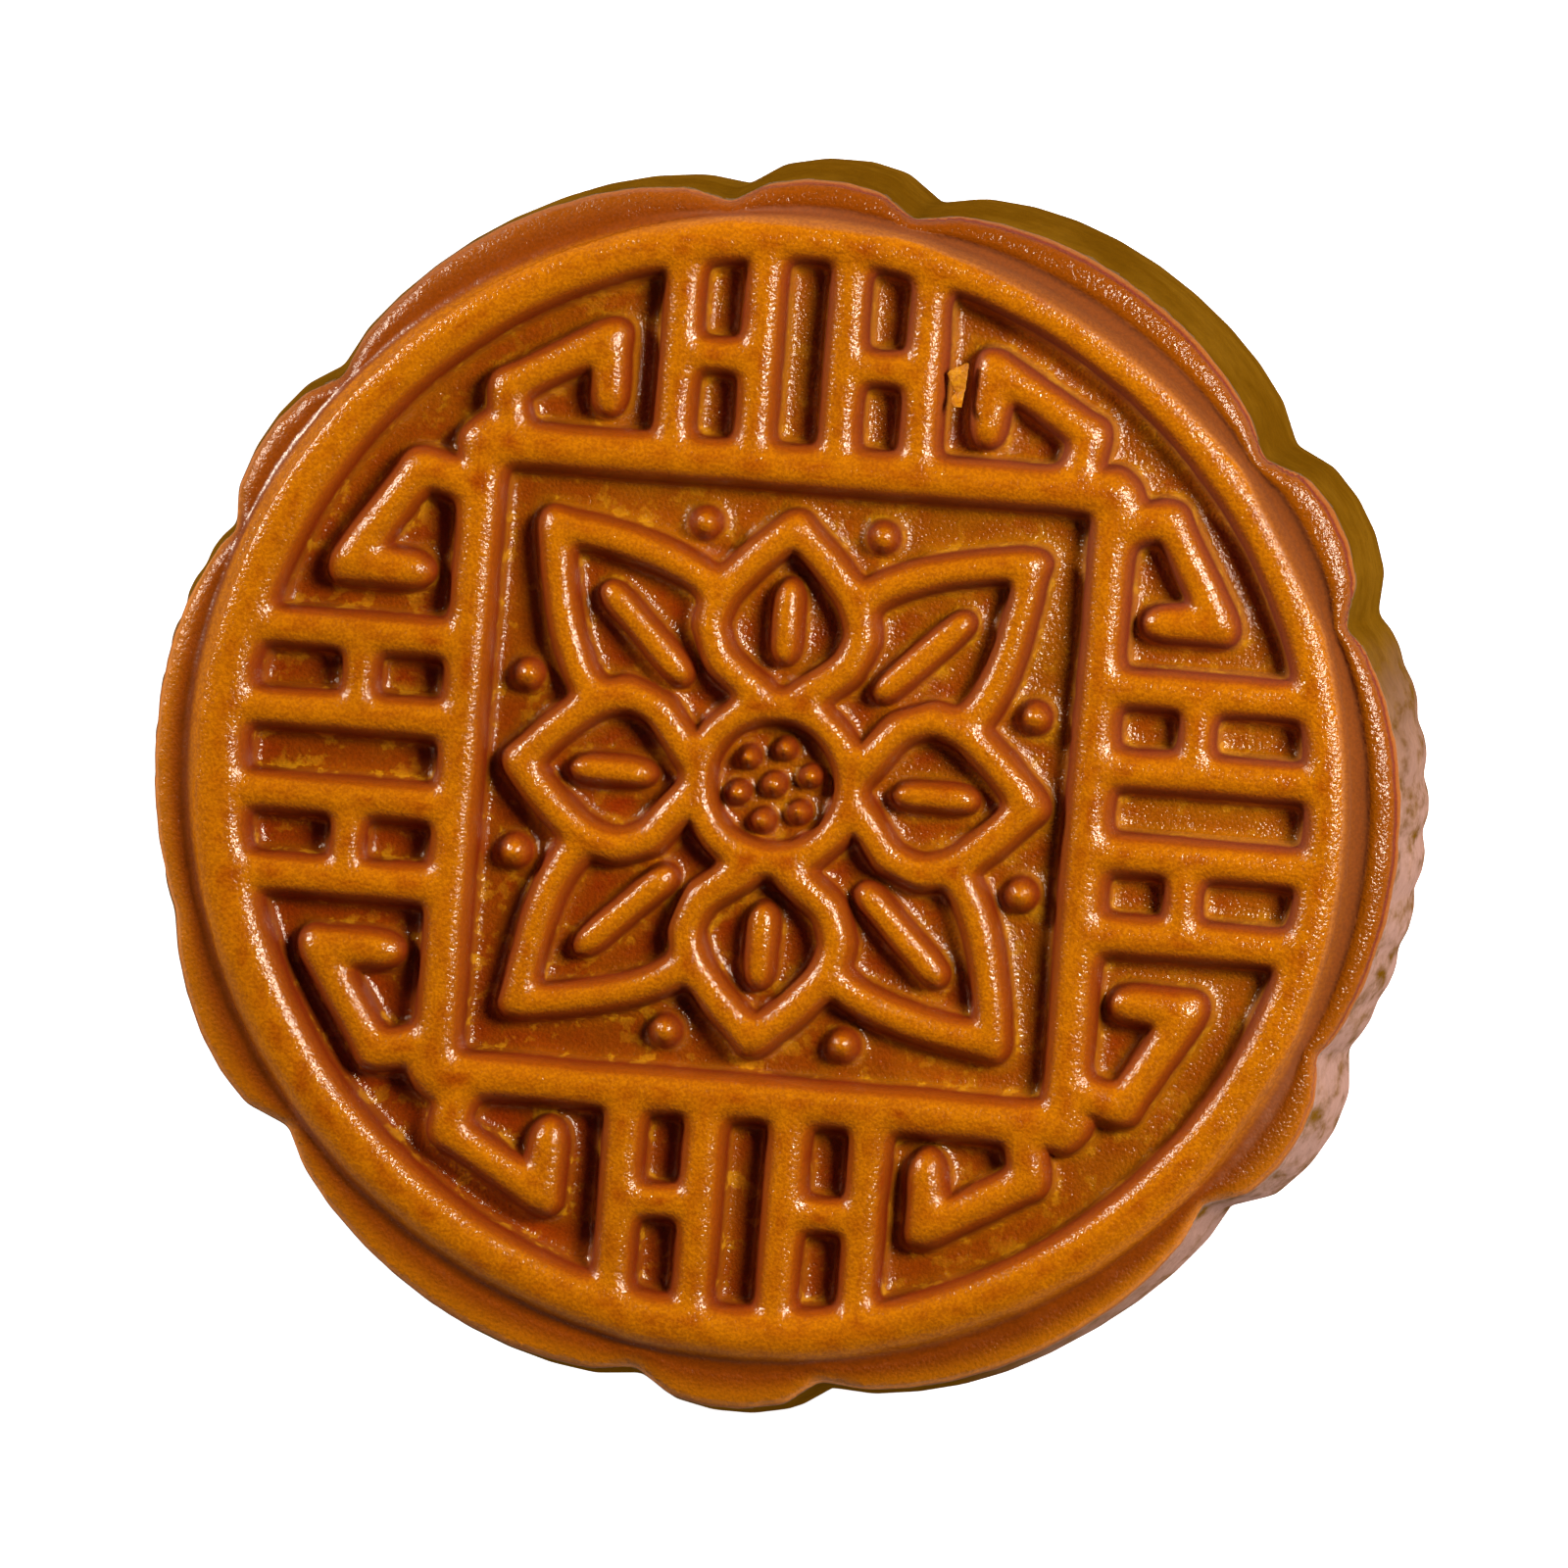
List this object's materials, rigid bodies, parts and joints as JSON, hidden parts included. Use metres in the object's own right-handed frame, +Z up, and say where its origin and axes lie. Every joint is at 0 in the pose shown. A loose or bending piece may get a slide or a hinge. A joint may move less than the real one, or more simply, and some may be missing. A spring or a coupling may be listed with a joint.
{
  "type": "white lotus mooncake",
  "caption": "Round moulded pastry with a scalloped rim, fluted sides and a raised print of a ring, a square frame, key lattices, corner hooks and a lotus flower.",
  "frame": {"origin": "middle of the flat underside, under the middle of the outline", "axes": "+Z up through the print, +X and +Y along the sides of the print's square frame"},
  "size_m": [0.0824, 0.0816, 0.035],
  "materials": {
    "crust": "baked golden-brown crust, satin with an egg wash"
  },
  "bodies": {
    "root": {"mooncake": "crust"}
  },
  "joints": []
}
